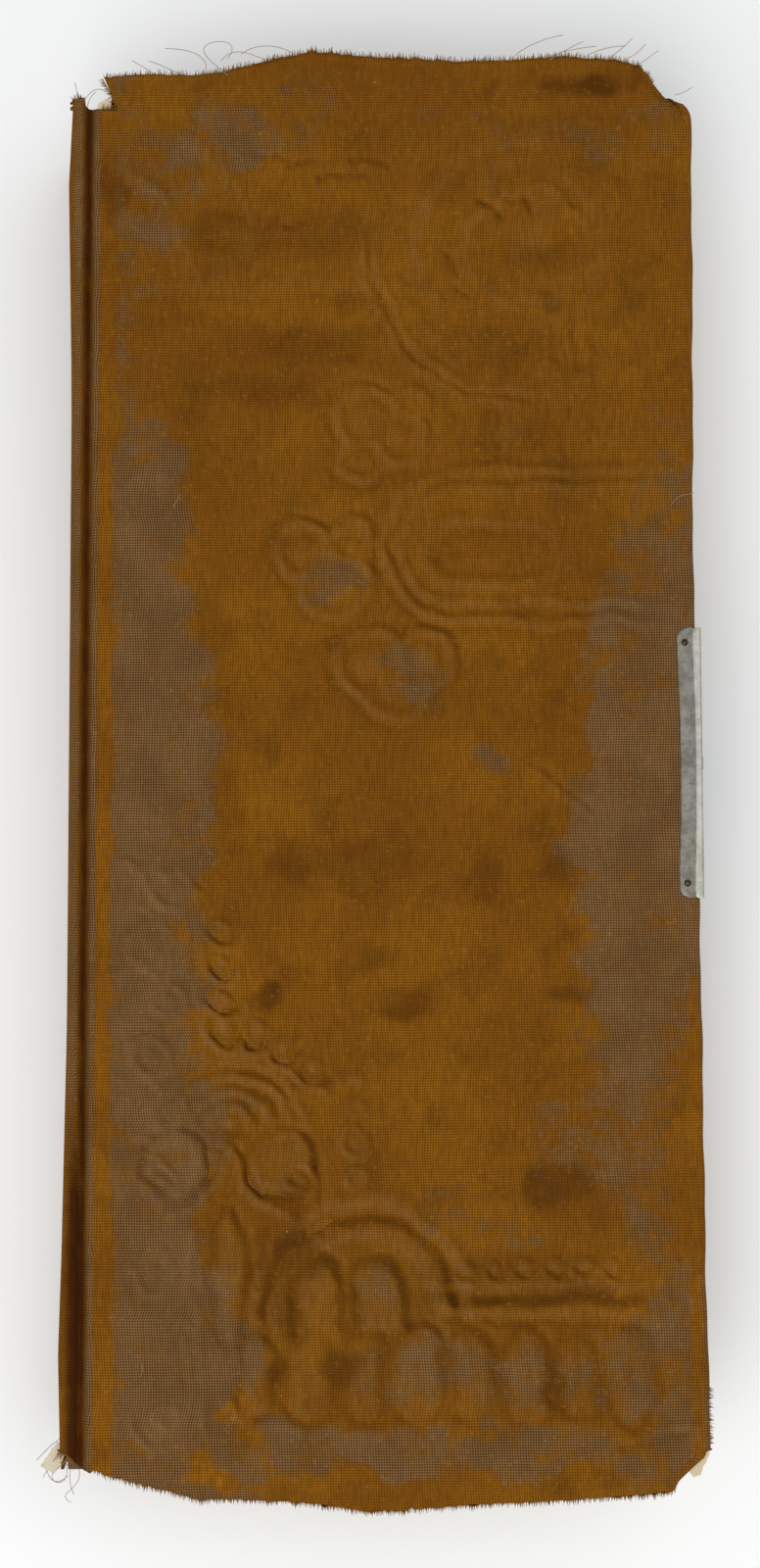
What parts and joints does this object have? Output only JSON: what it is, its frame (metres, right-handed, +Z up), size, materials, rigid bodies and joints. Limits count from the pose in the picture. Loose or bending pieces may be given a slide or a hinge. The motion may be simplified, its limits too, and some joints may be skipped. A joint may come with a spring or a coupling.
{
  "type": "velvet photograph album",
  "caption": "Tall velvet-covered album with stiff card leaves cut for pictures, a pressed-relief front cover and a hinged metal clasp on its fore-edge.",
  "frame": {"origin": "centre of the back cover's underside, the face that the closed album lies on", "axes": "+X towards the fore-edge (spine on -X), +Y towards the head, +Z up through the front cover"},
  "size_m": [0.1921, 0.4309, 0.0518],
  "materials": {
    "velvet": "worn orange-brown velvet, bare to the weave in places",
    "cover_board": "dull straw board",
    "relief_card": "pressed card",
    "joint_cloth": "coarse linen",
    "endpaper": "embossed cream paper, foxed",
    "lining_paper": "brown paper",
    "leaf_card": "plain card, gilt edge",
    "leaf_mat": "coated cream card with gilt ruling",
    "guard_linen": "fine linen",
    "clasp_metal": "aged nickel plate, worn and pitted",
    "nail_steel": "dark steel"
  },
  "bodies": {
    "back_cover": {"back_board": "cover_board", "back_velvet": "velvet", "back_joint_cloth": "joint_cloth", "back_pastedown": "endpaper", "hasp_plate": "clasp_metal", "hasp_plate_nails": "nail_steel", "hasp_pin": "nail_steel"},
    "spine": {"spine_board": "cover_board", "spine_velvet": "velvet", "spine_lining": "lining_paper"},
    "front_cover": {"front_board": "cover_board", "front_velvet": "velvet", "front_joint_cloth": "joint_cloth", "front_pastedown": "endpaper", "relief_underlay": "relief_card", "catch_plate": "clasp_metal", "catch_plate_nails": "nail_steel"},
    "leaf_01": {"leaf_01_core": "leaf_card", "leaf_01_recto_mat": "leaf_mat", "leaf_01_verso_mat": "leaf_mat", "leaf_01_guard": "guard_linen"},
    "leaf_02": {"leaf_02_core": "leaf_card", "leaf_02_recto_mat": "leaf_mat", "leaf_02_verso_mat": "leaf_mat", "leaf_02_guard": "guard_linen"},
    "leaf_03": {"leaf_03_core": "leaf_card", "leaf_03_recto_mat": "leaf_mat", "leaf_03_verso_mat": "leaf_mat", "leaf_03_guard": "guard_linen"},
    "leaf_04": {"leaf_04_core": "leaf_card", "leaf_04_recto_mat": "leaf_mat", "leaf_04_verso_mat": "leaf_mat", "leaf_04_guard": "guard_linen"},
    "leaf_05": {"leaf_05_core": "leaf_card", "leaf_05_recto_mat": "leaf_mat", "leaf_05_verso_mat": "leaf_mat", "leaf_05_guard": "guard_linen"},
    "leaf_06": {"leaf_06_core": "leaf_card", "leaf_06_recto_mat": "leaf_mat", "leaf_06_verso_mat": "leaf_mat", "leaf_06_guard": "guard_linen"},
    "leaf_07": {"leaf_07_core": "leaf_card", "leaf_07_recto_mat": "leaf_mat", "leaf_07_verso_mat": "leaf_mat", "leaf_07_guard": "guard_linen"},
    "leaf_08": {"leaf_08_core": "leaf_card", "leaf_08_recto_mat": "leaf_mat", "leaf_08_verso_mat": "leaf_mat", "leaf_08_guard": "guard_linen"},
    "leaf_09": {"leaf_09_core": "leaf_card", "leaf_09_recto_mat": "leaf_mat", "leaf_09_verso_mat": "leaf_mat", "leaf_09_guard": "guard_linen"},
    "leaf_10": {"leaf_10_core": "leaf_card", "leaf_10_recto_mat": "leaf_mat", "leaf_10_verso_mat": "leaf_mat", "leaf_10_guard": "guard_linen"},
    "hasp": {"hasp_arm": "clasp_metal"}
  },
  "joints": [
    {"name": "spine_hinge", "type": "hinge", "parent": "back_cover", "child": "spine", "pos_m": [-0.096, 0, 0.003], "axis": [0, -1, 0], "range_deg": [0, 90.5]},
    {"name": "front_cover_hinge", "type": "hinge", "parent": "spine", "child": "front_cover", "pos_m": [-0.096, 0, 0.0485], "axis": [0, -1, 0], "range_deg": [0, 90]},
    {"name": "leaf_01_turn", "type": "hinge", "parent": "back_cover", "child": "leaf_01", "pos_m": [-0.092, 0, 0.025], "axis": [0, -1, 0], "range_deg": [0, 171.5]},
    {"name": "leaf_02_turn", "type": "hinge", "parent": "back_cover", "child": "leaf_02", "pos_m": [-0.092, 0, 0.025], "axis": [0, -1, 0], "range_deg": [0, 153.5]},
    {"name": "leaf_03_turn", "type": "hinge", "parent": "back_cover", "child": "leaf_03", "pos_m": [-0.092, 0, 0.025], "axis": [0, -1, 0], "range_deg": [0, 135.5]},
    {"name": "leaf_04_turn", "type": "hinge", "parent": "back_cover", "child": "leaf_04", "pos_m": [-0.092, 0, 0.025], "axis": [0, -1, 0], "range_deg": [0, 117.5]},
    {"name": "leaf_05_turn", "type": "hinge", "parent": "back_cover", "child": "leaf_05", "pos_m": [-0.092, 0, 0.025], "axis": [0, -1, 0], "range_deg": [0, 99.5]},
    {"name": "leaf_06_turn", "type": "hinge", "parent": "back_cover", "child": "leaf_06", "pos_m": [-0.092, 0, 0.025], "axis": [0, -1, 0], "range_deg": [0, 81.5]},
    {"name": "leaf_07_turn", "type": "hinge", "parent": "back_cover", "child": "leaf_07", "pos_m": [-0.092, 0, 0.025], "axis": [0, -1, 0], "range_deg": [0, 63.5]},
    {"name": "leaf_08_turn", "type": "hinge", "parent": "back_cover", "child": "leaf_08", "pos_m": [-0.092, 0, 0.025], "axis": [0, -1, 0], "range_deg": [0, 45.5]},
    {"name": "leaf_09_turn", "type": "hinge", "parent": "back_cover", "child": "leaf_09", "pos_m": [-0.092, 0, 0.025], "axis": [0, -1, 0], "range_deg": [0, 27.5]},
    {"name": "leaf_10_turn", "type": "hinge", "parent": "back_cover", "child": "leaf_10", "pos_m": [-0.092, 0, 0.025], "axis": [0, -1, 0], "range_deg": [0, 9.5]},
    {"name": "hasp_hinge", "type": "hinge", "parent": "back_cover", "child": "hasp", "pos_m": [0.0918, 0.003, 0.0015], "axis": [0, 1, 0], "range_deg": [0, 90]}
  ],
  "couplings": [
    {"joint": "spine_hinge", "follows": "front_cover_hinge", "ratio": 1},
    {"joint": "leaf_01_turn", "follows": "front_cover_hinge", "ratio": 1.9},
    {"joint": "leaf_02_turn", "follows": "front_cover_hinge", "ratio": 1.7},
    {"joint": "leaf_03_turn", "follows": "front_cover_hinge", "ratio": 1.5},
    {"joint": "leaf_04_turn", "follows": "front_cover_hinge", "ratio": 1.3},
    {"joint": "leaf_05_turn", "follows": "front_cover_hinge", "ratio": 1.1},
    {"joint": "leaf_06_turn", "follows": "front_cover_hinge", "ratio": 0.9},
    {"joint": "leaf_07_turn", "follows": "front_cover_hinge", "ratio": 0.7},
    {"joint": "leaf_08_turn", "follows": "front_cover_hinge", "ratio": 0.5},
    {"joint": "leaf_09_turn", "follows": "front_cover_hinge", "ratio": 0.3},
    {"joint": "leaf_10_turn", "follows": "front_cover_hinge", "ratio": 0.1}
  ]
}
